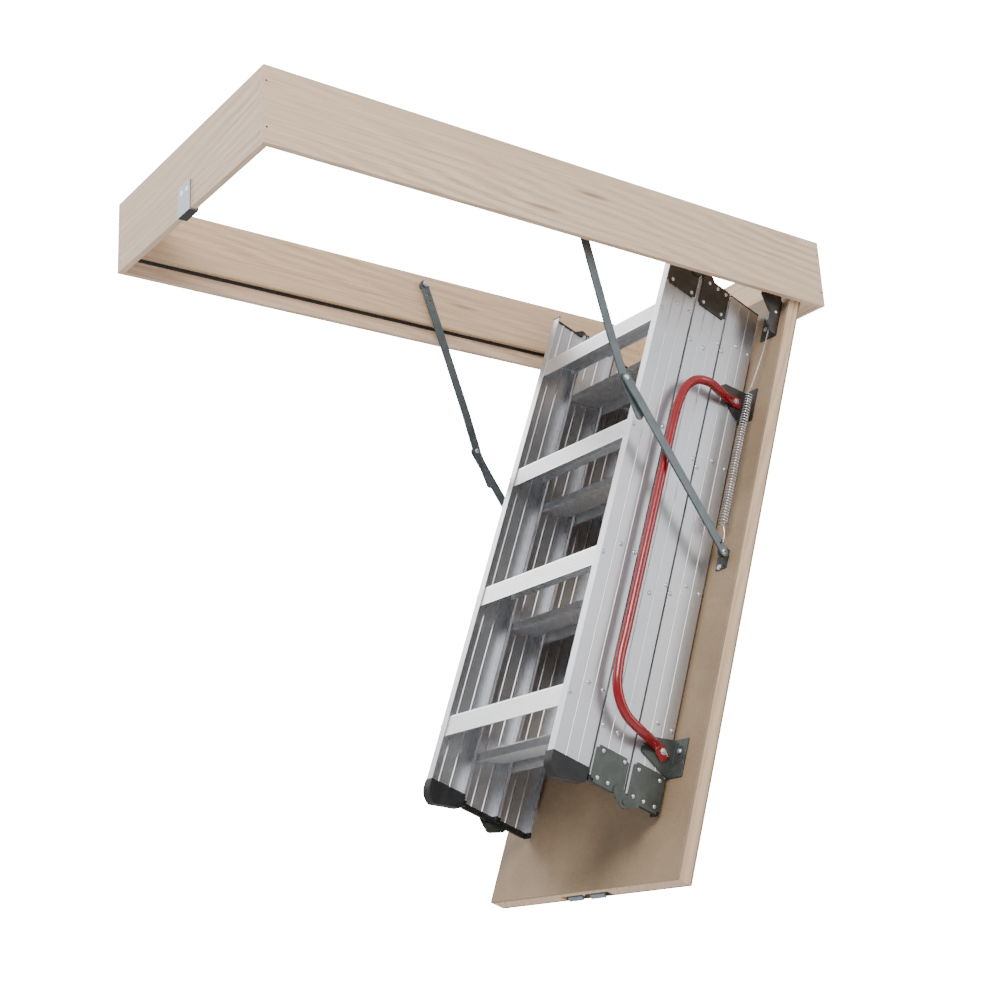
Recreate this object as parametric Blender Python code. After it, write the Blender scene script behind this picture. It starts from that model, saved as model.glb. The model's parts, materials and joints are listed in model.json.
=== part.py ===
"""Folding attic ladder: a pine frame, a hinged hatch, and three aluminium sections stacked on it.

Metres, +Z up. The origin is the centre of the header's outer face, where the frame meets the
joists. The frame runs towards -X, and the near long side is at -Y. The hatch hangs open on its
stay arms, with the three sections folded on it.

Pieces on the hatch are laid out on the closed, level hatch, in two coordinates: u runs along the
panel from the hinge line to the free end, and n stands up from the panel's attic face.
"""

import math

import bmesh
import bpy
from mathutils import Vector

# Frame, four boards round the opening
FRAME_LENGTH = 1.374
FRAME_WIDTH = 0.600
FRAME_DEPTH = 0.152
BOARD = 0.012
STOP_THICK = 0.015
STOP_START = -0.090
REBATE = 0.0358
FRAME_BOTTOM = -FRAME_DEPTH / 2
INNER_HALF = FRAME_WIDTH / 2 - BOARD
STOP_HALF = INNER_HALF - STOP_THICK

# Hatch, a pine core between two skins
HATCH_THICK = 0.035
SKIN = 0.004
HATCH_WIDTH = 0.560
HATCH_END = 1.3025
HATCH_TAIL = 0.034
OPEN_ANGLE = math.radians(69.25)
HINGE_DROP = 0.006
HINGE_X = -0.0529
HINGE_Z = FRAME_BOTTOM - HINGE_DROP
LIFT = HINGE_DROP + HATCH_THICK

# Butt hinge along the header
LEAF = 0.0025
KNUCKLE = 0.005
HINGE_PIN = 0.0022
FIXED_KNUCKLES = ((-0.19, -0.12), (-0.04, 0.04), (0.12, 0.19))
MOVING_KNUCKLES = ((-0.119, -0.041), (0.041, 0.119))

# Ladder sections
LADDER_HALF = 0.202
STILE_DEPTH = 0.083
STILE_WALL = 0.0025
STILE_FLANGE = 0.019
RIB = 0.0015
GROOVE = 0.0011
STACK_START = 0.0084
STACK_PITCH = 0.0875
SECTION_TOP = 0.018
SECTION_END = 1.179
LOWEST_END = 1.1567
PIN_GAP = 0.0023
LOW_PIN = (1.187, STACK_START + STACK_PITCH - PIN_GAP)
HIGH_PIN = (0.011, STACK_START + 2 * STACK_PITCH - PIN_GAP)

# Treads, four to a section, level when the hatch is open
TREAD_PITCH = 0.2935
FIRST_TREAD = 0.1465
LIP = 0.043
REAR_LIP = 0.018
TREAD_WALL = 0.0025
TREAD_HALF = LADDER_HALF - STILE_WALL - RIB - 0.0005
TREADS = 4

# Layers outside the stiles, as distances from the middle plane
GAP = 0.0003
PLATE = 0.0025
PLATE_IN = LADDER_HALF + GAP
PLATE_OUT = PLATE_IN + PLATE
LUG_IN = PLATE_OUT + GAP
LUG_OUT = LUG_IN + PLATE
EYE_R = 0.012
FOLD_PIN = 0.003
BRACKET = 0.003
RAIL_R = 0.0095
RAIL_Y = 0.230

# Stay arms: the upper one hangs from the frame, the lower one is pinned to the hatch
ARM_HALF = 0.010
UPPER_ARM_IN, UPPER_ARM_OUT = 0.2455, 0.2495
LOWER_ARM_IN, LOWER_ARM_OUT = 0.2525, 0.2565
ARM_SPLAY = 0.013
ARM_LEANING = 0.78
ARM_TOP = (-0.667, 0.047)
KNEE = (-0.554, -0.3305)
ARM_FOOT = (0.637, 0.018)
STUB = 0.078
STUB_BEND = math.radians(7)
ARM_PIN = 0.003

# Balance springs, beside the ladder on the attic face
SPRING_Y = 0.2475
SPRING_N = 0.028
SPRING_R = 0.0105
SPRING_TOP_R = 0.0085
SPRING_COIL = (0.262, 0.577)
STRAP_IN, STRAP_OUT = 0.261, 0.264
WIRE = 0.002

# Latch in the free end, and its keeper on the frame
POCKET = (1.258, 0.070, 0.0043, 0.0195)
TONGUE_Y = (0.012, 0.054)
KEEPER_HALF = 0.024
RING_AXIS = (1.240, -0.0435)
RING_R = 0.0022
RING_HALF = 0.024

SIDES = (("near", -1), ("far", 1))


def material(name, colour, roughness, metallic):
    made = bpy.data.materials.new(name)
    made.use_nodes = True
    shader = made.node_tree.nodes["Principled BSDF"]
    shader.inputs["Base Color"].default_value = (*colour, 1)
    shader.inputs["Roughness"].default_value = roughness
    shader.inputs["Metallic"].default_value = metallic
    return made


def place(name, bm, mat, parent=None):
    """Turns the mesh into an object under its parent, with its faces outwards."""
    bmesh.ops.recalc_face_normals(bm, faces=bm.faces)
    mesh = bpy.data.meshes.new(name)
    bm.to_mesh(mesh)
    bm.free()
    mesh.materials.append(mat)
    obj = bpy.data.objects.new(name, mesh)
    bpy.context.scene.collection.objects.link(obj)
    obj.parent = parent
    return obj


def axis_empty(name, x, z, parent=None):
    empty = bpy.data.objects.new(name, None)
    empty.location = (x, 0, z)
    empty.parent = parent
    bpy.context.scene.collection.objects.link(empty)
    return empty


def prism(name, outline, y0, y1, mat, parent=None):
    """A flat outline of (x, z) points, extruded along Y."""
    bm = bmesh.new()
    low, high = sorted((y0, y1))
    face = bm.faces.new([bm.verts.new((x, low, z)) for x, z in outline])
    grown = bmesh.ops.extrude_face_region(bm, geom=[face])
    moved = [v for v in grown["geom"] if isinstance(v, bmesh.types.BMVert)]
    bmesh.ops.translate(bm, verts=moved, vec=(0, high - low, 0))
    return place(name, bm, mat, parent)


def rectangle(x0, x1, z0, z1):
    return [(x0, z0), (x1, z0), (x1, z1), (x0, z1)]


def disc(x, z, radius, sides=16):
    turn = [2 * math.pi * (i + 0.5) / sides for i in range(sides)]
    return [(x + radius * math.cos(a), z + radius * math.sin(a)) for a in turn]


def capsule(start, end, half, sides=6):
    """A bar with round ends, from one centre to the other."""
    heading = math.atan2(end[1] - start[1], end[0] - start[0])
    points = []
    for (x, z), first in ((end, -math.pi / 2), (start, math.pi / 2)):
        for i in range(sides + 1):
            a = heading + first + math.pi * i / sides
            points.append((x + half * math.cos(a), z + half * math.sin(a)))
    return points


def boolean(target, tool, operation):
    """Joins or cuts with a helper object, which stays out of the model."""
    tool.hide_render = True
    tool.display_type = "WIRE"
    step = target.modifiers.new(tool.name, "BOOLEAN")
    step.operation = operation
    step.object = tool


class Body:
    """Pieces that move together: their axis empty, and its place in hatch coordinates."""

    def __init__(self, empty, u, n):
        self.empty, self.u, self.n = empty, u, n

    def spot(self, u, n):
        return self.u - u, n - self.n

    def prism(self, name, outline, y0, y1, mat):
        return prism(name, [self.spot(u, n) for u, n in outline], y0, y1, mat, self.empty)

    def add(self, target, outline, y0, y1):
        tool = self.prism(f"{target.name}_add", outline, y0, y1, target.data.materials[0])
        boolean(target, tool, "UNION")

    def cut(self, target, outline, y0, y1):
        tool = self.prism(f"{target.name}_cut", outline, y0, y1, target.data.materials[0])
        boolean(target, tool, "DIFFERENCE")


def turned(x, z, angle):
    """The point (x, z) turned about Y, as a Blender Y rotation turns it."""
    return (
        x * math.cos(angle) + z * math.sin(angle),
        z * math.cos(angle) - x * math.sin(angle),
    )


def arc(centre, radius, start, end, steps):
    """Points along an arc of (u, n), angles in degrees from +u towards +n."""
    angles = [math.radians(start + (end - start) * i / steps) for i in range(steps + 1)]
    return [(centre[0] + radius * math.cos(a), centre[1] + radius * math.sin(a)) for a in angles]


def make_frame(pine, steel):
    top, bottom = FRAME_DEPTH / 2, FRAME_BOTTOM
    for side, sign in SIDES:
        long_side = rectangle(-FRAME_LENGTH, 0, bottom, top)
        prism(f"frame_side_{side}", long_side, sign * INNER_HALF, sign * FRAME_WIDTH / 2, pine)
    reach = INNER_HALF - GAP
    latch_inner = -FRAME_LENGTH + BOARD
    prism("frame_end_latch", rectangle(-FRAME_LENGTH, latch_inner, bottom, top), -reach, reach, pine)
    prism("frame_end_hinge", rectangle(-BOARD, 0, bottom, top), -reach, reach, pine)
    stop_end = latch_inner + GAP + STOP_THICK
    stop_low = bottom + REBATE
    for side, sign in SIDES:
        outline = rectangle(latch_inner + GAP, STOP_START, stop_low, top)
        stop = prism(f"stop_batten_{side}", outline, sign * STOP_HALF, sign * reach, pine)
        hole = prism(f"{stop.name}_cut", disc(*ARM_TOP, ARM_PIN + 0.0004), sign * 0.26, sign * 0.283, pine)
        boolean(stop, hole, "DIFFERENCE")
    inner = STOP_HALF - GAP
    outline = rectangle(latch_inner + GAP, stop_end, stop_low, top)
    prism("stop_batten_latch", outline, -inner, inner, pine)
    outer = -FRAME_LENGTH - GAP
    thick = 0.0025
    lip_in = latch_inner + 0.0035
    under = bottom - GAP
    keeper = [
        (outer - thick, bottom + 0.059),
        (outer - thick, under - thick),
        (lip_in, under - thick),
        (lip_in, bottom + 0.005),
        (lip_in - 0.002, bottom + 0.005),
        (lip_in - 0.002, under),
        (outer, under),
        (outer, bottom + 0.059),
    ]
    prism("keeper_plate", keeper, -KEEPER_HALF, KEEPER_HALF, steel)


def make_hinge(steel, hatch):
    under = FRAME_BOTTOM - GAP
    fixed_plate = rectangle(HINGE_X + KNUCKLE + 0.0013, -0.002, under - LEAF, under)
    first, last = FIXED_KNUCKLES[0][0], FIXED_KNUCKLES[-1][1]
    fixed = prism("hinge_leaf_fixed", fixed_plate, first, last, steel)
    pin = prism("hinge_pin_add", disc(HINGE_X, HINGE_Z, HINGE_PIN, 12), first, last, steel)
    for i, (y0, y1) in enumerate(FIXED_KNUCKLES):
        barrel = prism(f"fixed_knuckle_{i}", disc(HINGE_X, HINGE_Z, KNUCKLE), y0, y1, steel)
        boolean(fixed, barrel, "UNION")
        tongue = rectangle(HINGE_X, HINGE_X + 0.012, under - LEAF, under)
        boolean(fixed, prism(f"fixed_tongue_{i}", tongue, y0, y1, steel), "UNION")
    boolean(fixed, pin, "UNION")
    low = -HATCH_THICK - GAP - LEAF
    leaf = [(KNUCKLE + 0.0013, low), (0.045, low), (0.045, low + LEAF), (KNUCKLE + 0.0013, low + LEAF)]
    first, last = MOVING_KNUCKLES[0][0], MOVING_KNUCKLES[-1][1]
    moving = hatch.prism("hinge_leaf_moving", leaf, first, last, steel)
    neck = [(0, low), (0.012, low), (0.012, low + LEAF), (0, low + LEAF)]
    for y0, y1 in MOVING_KNUCKLES:
        hatch.add(moving, disc(0, -LIFT, KNUCKLE), y0, y1)
        hatch.add(moving, neck, y0, y1)
    hatch.cut(moving, disc(0, -LIFT, HINGE_PIN + 0.0004, 12), -0.2, 0.2)


def make_hatch(pine, board, hatch):
    half = HATCH_WIDTH / 2
    upper = [(-HATCH_TAIL, -SKIN), (HATCH_END, -SKIN), (HATCH_END, 0), (-HATCH_TAIL, 0)]
    hatch.prism("hatch_skin_attic", upper, -half, half, board)
    core_low, core_high = -HATCH_THICK + SKIN + GAP, -SKIN - GAP
    core = hatch.prism(
        "hatch_core",
        [(-HATCH_TAIL, core_low), (HATCH_END, core_low), (HATCH_END, core_high), (-HATCH_TAIL, core_high)],
        -half,
        half,
        pine,
    )
    depth, wide, low, high = POCKET
    pocket_low, pocket_high = low - HATCH_THICK - 0.001, high - HATCH_THICK
    past = HATCH_END + 0.01
    pocket = [(depth, pocket_low), (past, pocket_low), (past, pocket_high), (depth, pocket_high)]
    hatch.cut(core, pocket, -wide, wide)
    lower = [(-HATCH_TAIL, -HATCH_THICK), (HATCH_END, -HATCH_THICK)]
    lower += [(HATCH_END, SKIN - HATCH_THICK), (-HATCH_TAIL, SKIN - HATCH_THICK)]
    hatch.prism("hatch_skin_room", lower, -half, half, board)


def make_latch(steel, hatch):
    """Two sprung tongues in the pocket, and the plate under the panel that holds the pull ring."""
    tongues = {}
    low = -HATCH_THICK + 0.0065
    nose = HATCH_END + 0.0055
    high = low + 0.007
    outline = [(1.27, low), (nose, low), (nose, low + 0.002), (nose - 0.006, high), (1.27, high)]
    for side, sign in SIDES:
        x, z = hatch.spot(1.27, low)
        tongues[side] = Body(axis_empty(f"latch_slide_{side}", x, z, hatch.empty), 1.27, low)
        tongues[side].prism(
            f"latch_tongue_{side}", outline, sign * TONGUE_Y[0], sign * TONGUE_Y[1], steel
        )
    u, n = RING_AXIS
    face = -HATCH_THICK - GAP
    plate = [(u - 0.030, face - 0.002), (u + 0.020, face - 0.002), (u + 0.020, face), (u - 0.030, face)]
    holder = hatch.prism("latch_plate", plate, -0.030, 0.030, steel)
    for y0 in (-0.017, 0.014):
        ear = [(u - 0.0065, face - 0.001), *arc((u, n), 0.0055, 180, 360, 8), (u + 0.0065, face - 0.001)]
        hatch.add(holder, ear, y0, y0 + 0.003)
    hatch.cut(holder, disc(u, n, RING_R + 0.0005, 12), -0.025, 0.025)
    x, z = hatch.spot(u, n)
    ring = Body(axis_empty("pull_ring_axis", x, z, hatch.empty), u, n)
    ring.empty.rotation_euler.y = OPEN_ANGLE - math.pi / 2
    sweep = [math.radians(-90 + 180 * i / 12) for i in range(13)]
    curve = [(0.012 + RING_HALF * math.cos(a), RING_HALF * math.sin(a)) for a in sweep]
    inner = RING_HALF - 0.0035
    stations = [(0, -inner), (0.007, -RING_HALF), *curve, (0.007, RING_HALF), (0, inner)]
    loop = [(-x, y, 0, RING_R, RING_R) for x, y in stations]
    loft("pull_ring", loop, steel, ring.empty, sides=8, closed=True)
    return tongues, ring


def loft(name, stations, mat, parent, sides=12, closed=False, flat_axis=(0, 1, 0)):
    """A bar through (x, y, z, half across, half thick) stations; its thickness is measured near Y."""
    count = len(stations)
    centres = [Vector(s[:3]) for s in stations]
    bm = bmesh.new()
    rings = []
    for i, station in enumerate(stations):
        before = centres[i - 1] if i or closed else centres[i]
        after = centres[(i + 1) % count] if i < count - 1 or closed else centres[i]
        along = (after - before).normalized()
        thick = Vector(flat_axis)
        if abs(along.dot(thick)) > 0.9:
            thick = Vector((0, 0, 1)) if closed else thick
        if closed:
            thick = Vector((0, 0, 1))
        thick = (thick - along * thick.dot(along)).normalized()
        across = along.cross(thick)
        ring = []
        for j in range(sides):
            a = 2 * math.pi * (j + 0.5) / sides
            offset = across * station[3] * math.cos(a) + thick * station[4] * math.sin(a)
            ring.append(bm.verts.new(centres[i] + offset))
        rings.append(ring)
    for i in range(count if closed else count - 1):
        ring, following = rings[i], rings[(i + 1) % count]
        for j in range(sides):
            k = (j + 1) % sides
            bm.faces.new((ring[j], ring[k], following[k], following[j]))
    if not closed:
        bm.faces.new(rings[0])
        bm.faces.new(rings[-1])
    obj = place(name, bm, mat, parent)
    obj.data.shade_smooth()
    obj.data.set_sharp_from_angle(angle=math.radians(40))
    return obj


def stile_outline():
    """A C-channel as (depth from the rear face, distance out from the channel's mouth)."""
    depth, wall, flange = STILE_DEPTH, STILE_WALL, STILE_FLANGE
    outer = [(0, flange)]
    for third in (1 / 3, 2 / 3):
        middle = depth * third
        outer += [(middle - 0.0012, flange), (middle, flange - GROOVE), (middle + 0.0012, flange)]
    outer += [(depth, flange), (depth, 0), (depth - wall, 0), (depth - wall, flange - wall)]
    inner = []
    for third in (2 / 3, 1 / 3):
        middle = depth * third
        inner += [(middle + 0.003, flange - wall), (middle + 0.0015, flange - wall - RIB)]
        inner += [(middle - 0.0015, flange - wall - RIB), (middle - 0.003, flange - wall)]
    return outer + inner + [(wall, flange - wall), (wall, 0), (0, 0)]


def stile(name, body, rear, top, end, sign, mat):
    """A stile of the section whose rear face is at this n, from u top to u end."""
    bm = bmesh.new()
    corners = []
    for depth, out in stile_outline():
        y = sign * (LADDER_HALF - STILE_FLANGE + out)
        x, z = body.spot(top, rear + depth)
        corners.append(bm.verts.new((x, y, z)))
    grown = bmesh.ops.extrude_face_region(bm, geom=[bm.faces.new(corners)])
    moved = [v for v in grown["geom"] if isinstance(v, bmesh.types.BMVert)]
    bmesh.ops.translate(bm, verts=moved, vec=(top - end, 0, 0))
    return place(name, bm, mat, body.empty)


def tread_outline(front, top):
    """A stepped channel: front lip, level plate and rear lip, as (u, n)."""
    slope = 1 / math.tan(OPEN_ANGLE)
    face = front - STILE_WALL - 0.0005
    back = front - STILE_DEPTH + STILE_WALL + 0.0005
    rise = slope * (face - back)
    wall = TREAD_WALL
    return [
        (top, face),
        (top - rise, back),
        (top - rise + REAR_LIP, back),
        (top - rise + REAR_LIP, back + wall),
        (top - rise + slope * wall + wall * 1.07, back + wall),
        (top - slope * wall + wall * 1.07, face - wall),
        (top + LIP, face - wall),
        (top + LIP, face),
    ]


def make_section(name, body, index, end, mat, flipped=False, shift=0.0):
    """Two stiles and four treads. A flipped section is turned end over end, as it lies folded."""
    rear = STACK_START + index * STACK_PITCH
    for side, sign in SIDES:
        stile(f"{name}_stile_{side}", body, rear, SECTION_TOP, end, sign, mat)
    for i in range(TREADS):
        top = FIRST_TREAD + shift + i * TREAD_PITCH
        outline = tread_outline(rear + STILE_DEPTH, top)
        if flipped:
            centre_n = 2 * rear + STILE_DEPTH
            span = 2 * LOW_PIN[0]
            unfolded = FIRST_TREAD + (2 * TREADS - 1 - i) * TREAD_PITCH
            outline = tread_outline(rear + STILE_DEPTH, unfolded)
            outline = [(span - u, centre_n - n) for u, n in outline]
        body.prism(f"{name}_tread_{i + 1}", outline, -TREAD_HALF, TREAD_HALF, mat)


def fold_plates(name, body, plate, pin, neck, holds_pin, mat, other_neck=None):
    """A riveted plate on each stile, with an eye round the fold's pin. The plate with no pin is
    cut clear of the other plate's eye, both folded and unfolded."""
    for side, sign in SIDES:
        u0, u1, n0, n1 = plate
        outline = [(u0, n0), (u1, n0), (u1, n1), (u0, n1)]
        made = body.prism(f"{name}_{side}", outline, sign * PLATE_IN, sign * PLATE_OUT, mat)
        if holds_pin:
            body.add(made, capsule(neck, pin, EYE_R), sign * PLATE_IN, sign * PLATE_OUT)
            body.add(made, disc(*pin, FOLD_PIN, 12), sign * PLATE_IN, sign * (LUG_OUT + 0.0022))
            body.add(made, disc(*pin, 0.0055, 12), sign * (LUG_OUT + GAP), sign * (LUG_OUT + 0.002))
        else:
            inside, outside = sign * (PLATE_IN - 0.001), sign * (PLATE_OUT + 0.001)
            body.cut(made, disc(*pin, EYE_R + 0.0005, 24), inside, outside)
            unfolded = tuple(2 * a - b for a, b in zip(pin, other_neck))
            body.cut(made, capsule(unfolded, pin, EYE_R + 0.0005), inside, outside)
            body.add(made, disc(*neck, 0.006, 12), sign * (PLATE_IN + 0.001), sign * LUG_OUT)
            body.add(made, capsule(neck, pin, EYE_R), sign * LUG_IN, sign * LUG_OUT)
            body.cut(made, disc(*pin, FOLD_PIN + 0.0004, 12), sign * (PLATE_IN - 0.01), sign * 0.23)


def make_fold_hinges(steel, hatch, middle, lower):
    rear = [STACK_START + i * STACK_PITCH for i in range(3)]
    fold_plates("low_plate_upper", hatch, (1.103, 1.179, rear[0] + 0.001, rear[0] + 0.078),
                LOW_PIN, (1.176, rear[0] + 0.060), True, steel)
    fold_plates("low_plate_middle", middle, (1.107, 1.179, rear[1] + 0.003, rear[1] + 0.080),
                LOW_PIN, (1.1735, rear[1] + 0.0155), False, steel, (1.176, rear[0] + 0.060))
    fold_plates("high_plate_middle", middle, (0.019, 0.095, rear[1] + 0.002, rear[1] + 0.079),
                HIGH_PIN, (0.022, rear[1] + 0.060), True, steel)
    fold_plates("high_plate_lower", lower, (0.019, 0.092, rear[2] + 0.003, rear[2] + 0.080),
                HIGH_PIN, (0.0245, rear[2] + 0.0155), False, steel, (0.022, rear[1] + 0.060))


def make_feet(rubber, lower):
    """Caps under the lowest stiles, with a sole that lies level when the ladder stands open."""
    rear = STACK_START + 2 * STACK_PITCH
    top = LOWEST_END + GAP
    back, front = rear - 0.0005, rear + STILE_DEPTH + 0.0015
    heel = arc((top + 0.024, back + 0.007), 0.007, -90, -20, 4)
    nose = arc((top + 0.015, front - 0.033), 0.033, 22, 90, 6)
    outline = [(top, back), *heel, *nose, (top, front)]
    for side, sign in SIDES:
        outer, inner = LADDER_HALF + 0.0015, LADDER_HALF - STILE_FLANGE - 0.003
        lower.prism(f"foot_{side}", outline, sign * inner, sign * outer, rubber)


def make_ladder_brackets(steel, hatch):
    """Angle brackets that hold the upper section to the panel."""
    legs = {
        "low": [(1.026, 0.0), (1.103, 0.0), (1.103, 0.012), (1.080, 0.076), (1.066, 0.080), (1.040, 0.050)],
        "high": [(0.226, 0.0), (0.306, 0.0), (0.296, 0.022), (0.262, 0.068), (0.246, 0.072), (0.236, 0.060)],
    }
    for place_name, leg in legs.items():
        leg = [(u, max(n, GAP)) for u, n in leg]
        flange = [(leg[0][0], GAP), (leg[1][0], GAP), (leg[1][0], GAP + BRACKET), (leg[0][0], GAP + BRACKET)]
        slot_u = (leg[0][0] + leg[1][0]) / 2
        for side, sign in SIDES:
            made = hatch.prism(
                f"ladder_bracket_{place_name}_{side}",
                leg, sign * PLATE_IN, sign * (PLATE_IN + BRACKET), steel
            )
            hatch.add(made, flange, sign * PLATE_IN, sign * 0.239)
            slot = rectangle(slot_u - 0.022, slot_u - 0.006, -0.01, 0.01)
            hatch.cut(made, slot, sign * 0.2175, sign * 0.2240)


def smooth_route(points, steps):
    """Points along a Catmull-Rom curve through the given ones, ends included."""
    padded = [points[0], *points, points[-1]]
    route = []
    for p0, p1, p2, p3 in zip(padded, padded[1:], padded[2:], padded[3:]):
        for i in range(steps):
            t = i / steps
            route.append(tuple(
                0.5 * (2 * b + (c - a) * t + (2 * a - 5 * b + 4 * c - d) * t * t
                       + (3 * b - a - 3 * c + d) * t ** 3)
                for a, b, c, d in zip(p0, p1, p2, p3)
            ))
    return [*route, points[-1]]


def make_handrail(red, hatch):
    """A bent tube beside the near stiles, its flattened ends bolted to the brackets."""
    tab_y = PLATE_IN + BRACKET + GAP + 0.002
    tab, half = (0.0125, 0.002), (RAIL_R, RAIL_R)
    route = [
        (1.074, 0.022, tab_y, *tab),
        (1.058, 0.044, tab_y, *tab),
        (1.057, 0.070, 0.2180, 0.0110, 0.0065),
        (1.057, 0.106, RAIL_Y, *half),
        (1.041, 0.150, RAIL_Y, *half),
        (1.006, 0.179, RAIL_Y, *half),
        (0.955, 0.189, RAIL_Y, *half),
        (0.690, 0.189, RAIL_Y, *half),
        (0.420, 0.189, RAIL_Y, *half),
        (0.364, 0.186, RAIL_Y, *half),
        (0.322, 0.176, RAIL_Y, *half),
        (0.292, 0.153, RAIL_Y, *half),
        (0.279, 0.120, RAIL_Y, *half),
        (0.278, 0.086, 0.2240, *half),
        (0.272, 0.054, 0.2140, 0.0115, 0.0050),
        (0.266, 0.034, tab_y, *tab),
        (0.262, 0.014, tab_y, *tab),
    ]
    stations = []
    for u, n, y, across, thick in smooth_route(route, 3):
        x, z = hatch.spot(u, n)
        stations.append((x, -max(y, tab_y), z, across, thick))
    return loft("handrail", stations, red, hatch.empty)


def make_springs(steel, hatch):
    """The outer shape of each balance spring, with its straight hooks."""
    first, last = SPRING_COIL
    strap_y, arm_y = STRAP_IN - GAP - WIRE, LOWER_ARM_OUT + 0.0008 + WIRE
    profile = [
        (0.092, 0.020, strap_y, WIRE),
        (0.118, 0.021, strap_y, WIRE),
        (0.236, 0.0265, 0.2485, WIRE),
        (0.250, 0.027, SPRING_Y, 0.005),
        (first, 0.0275, SPRING_Y, SPRING_TOP_R),
        ((first + last) / 2, SPRING_N, SPRING_Y, 0.0095),
        (last - 0.004, SPRING_N, SPRING_Y, SPRING_R),
        (last, SPRING_N, SPRING_Y, SPRING_R - 0.003),
        (last + 0.003, SPRING_N, SPRING_Y + 0.002, WIRE),
        (0.614, 0.0295, arm_y, WIRE),
        (0.6235, 0.0300, arm_y, WIRE),
    ]
    for side, sign in SIDES:
        stations = []
        for u, n, y, radius in profile:
            x, z = hatch.spot(u, n)
            stations.append((x, sign * y, z, radius, radius))
        loft(f"spring_{side}", stations, steel, hatch.empty)


def make_spring_brackets(steel, hatch):
    """Angle brackets by the hinge that hold the springs' upper hooks."""
    ear = [(0.000, GAP), (0.095, GAP), (0.095, 0.018), (0.088, 0.029), (0.050, 0.030)]
    ear += [(0.020, 0.061), (-0.012, 0.061), (-0.012, 0.020)]
    foot = [(0.030, GAP), (0.095, GAP), (0.095, GAP + BRACKET), (0.030, GAP + BRACKET)]
    for side, sign in SIDES:
        made = hatch.prism(f"spring_bracket_{side}", ear, sign * STRAP_IN, sign * STRAP_OUT, steel)
        hatch.add(made, foot, sign * 0.2180, sign * STRAP_OUT)


def splay_arm(arm, length, sign):
    """Leans a flat bar outwards towards the frame. The part by the knee stays flat, so that the
    lower arm can fold past it."""
    bend = ARM_LEANING * length
    bm = bmesh.new()
    bm.from_mesh(arm.data)
    everything = [*bm.verts, *bm.edges, *bm.faces]
    bmesh.ops.bisect_plane(bm, geom=everything, plane_co=(bend, 0, 0), plane_no=(1, 0, 0))
    for vert in bm.verts:
        vert.co.y += sign * ARM_SPLAY * max(0, 1 - vert.co.x / bend)
    bm.to_mesh(arm.data)
    bm.free()


def make_arms(steel, hatch):
    """The stay arms, each turned to meet the other at the knee."""
    arms = {}
    foot = hatch.spot(*ARM_FOOT)
    foot_world = turned(*foot, -OPEN_ANGLE)
    foot_world = (foot_world[0] + HINGE_X, foot_world[1] + HINGE_Z)
    upper_heading = math.atan2(ARM_TOP[1] - KNEE[1], KNEE[0] - ARM_TOP[0])
    lower_heading = math.atan2(foot_world[1] - KNEE[1], KNEE[0] - foot_world[0])
    upper_length = math.dist(ARM_TOP, KNEE)
    lower_length = math.dist(foot_world, KNEE)
    for side, sign in SIDES:
        upper = axis_empty(f"upper_arm_axis_{side}", *ARM_TOP)
        upper.rotation_euler.y = upper_heading
        knee = (upper_length, 0)
        tip = (upper_length + STUB * math.cos(STUB_BEND), STUB * math.sin(STUB_BEND))
        bar = capsule((0, 0), knee, ARM_HALF)
        inner, outer = sign * UPPER_ARM_IN, sign * UPPER_ARM_OUT
        arm = prism(f"upper_arm_{side}", bar, inner, outer, steel, upper)
        splay_arm(arm, upper_length, sign)
        top_in, top_out = UPPER_ARM_IN + ARM_SPLAY, UPPER_ARM_OUT + ARM_SPLAY
        parts = (
            (capsule(knee, tip, ARM_HALF - 0.001), UPPER_ARM_IN, UPPER_ARM_OUT),
            (disc(0, 0, 0.0065, 12), top_out - 0.001, STOP_HALF - GAP),
            (disc(0, 0, ARM_PIN, 12), top_out, STOP_HALF + 0.008),
            (disc(0, 0, 0.006, 6), top_in - 0.005, top_in + 0.001),
        )
        for outline, y0, y1 in parts:
            boolean(arm, prism(f"{arm.name}_add", outline, sign * y0, sign * y1, steel, upper), "UNION")
        lower = axis_empty(f"lower_arm_axis_{side}", *foot, hatch.empty)
        lower.rotation_euler.y = lower_heading + OPEN_ANGLE
        bar = capsule((0, 0), (lower_length, 0), ARM_HALF)
        arm = prism(f"lower_arm_{side}", bar, sign * LOWER_ARM_IN, sign * LOWER_ARM_OUT, steel, lower)
        holes = ((0, ARM_PIN + 0.0004), (0.0185, 0.0032))
        for x, radius in holes:
            hole = prism(f"{arm.name}_cut", disc(x, 0, radius, 12), sign * 0.235, sign * 0.265, steel, lower)
            boolean(arm, hole, "DIFFERENCE")
        arms[side] = (upper, lower)
    u, n = ARM_FOOT
    top = arc((u, n), 0.011, 0, 180, 6)
    ear = [(u - 0.015, GAP), (u + 0.026, GAP), (u + 0.024, 0.010), *top, (u - 0.015, 0.012)]
    sole = [(u - 0.004, GAP), (u + 0.026, GAP), (u + 0.026, GAP + BRACKET), (u - 0.004, GAP + BRACKET)]
    for side, sign in SIDES:
        made = hatch.prism(f"arm_bracket_{side}", ear, sign * UPPER_ARM_IN, sign * UPPER_ARM_OUT, steel)
        hatch.add(made, sole, sign * 0.220, sign * UPPER_ARM_OUT)
        inner = sign * (UPPER_ARM_IN + 0.001)
        hatch.add(made, disc(u, n, ARM_PIN, 12), inner, sign * (LOWER_ARM_OUT + 0.002))
        hatch.add(made, disc(u, n, 0.0055, 12), inner, sign * (LOWER_ARM_IN - GAP))
    return arms


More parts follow.
